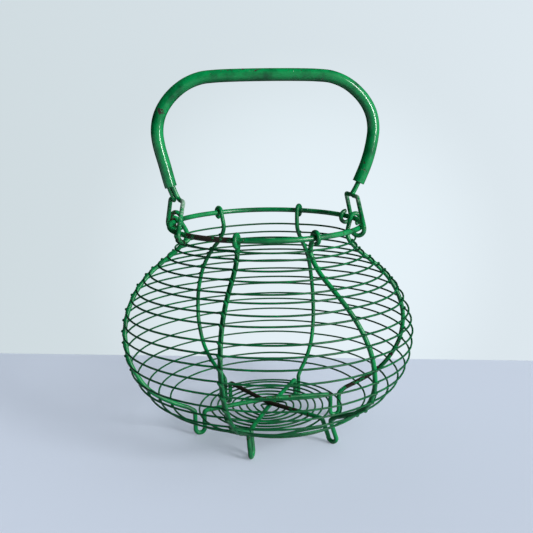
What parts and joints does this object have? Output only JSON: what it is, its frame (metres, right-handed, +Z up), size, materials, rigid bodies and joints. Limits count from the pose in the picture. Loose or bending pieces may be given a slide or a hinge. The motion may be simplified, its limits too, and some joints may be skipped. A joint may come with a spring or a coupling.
{
  "type": "wire egg basket",
  "caption": "Round-bellied wire basket with looped wire feet, a spirally wound thin wire over bent ribs, an open mouth and a tall upright handle with a tube grip.",
  "frame": {"origin": "on the floor, under the middle of the basket", "axes": "+Z up; +X towards the right fork of the handle, so the handle stands in the XZ plane; -Y is the front"},
  "size_m": [0.263, 0.263, 0.3221],
  "materials": {
    "green_paint": "glossy green enamel over steel wire, chipped to rust in places",
    "winding_paint": "glossy green enamel over thin steel wire",
    "handle_paint": "green enamel over steel wire, worn pale and rusty at the bends",
    "grip_paint": "green enamel over a steel tube, rubbed by hands to rust specks"
  },
  "bodies": {
    "basket": {"rim": "green_paint", "rib_wire_left_to_right": "green_paint", "rib_wire_front_right_to_back_left": "green_paint", "rib_wire_front_left_to_back_right": "green_paint", "winding_neck": "winding_paint", "winding_shoulder": "winding_paint", "winding_belly": "winding_paint", "winding_bowl": "winding_paint", "winding_heel": "winding_paint", "winding_base": "winding_paint"},
    "handle": {"handle_wire_front": "handle_paint", "handle_wire_back": "handle_paint", "handle_grip": "grip_paint"}
  },
  "joints": [
    {"name": "handle_lift", "type": "slide", "parent": "basket", "child": "handle", "axis": [0, 0, 1], "range_m": [0, 0.0015]}
  ]
}
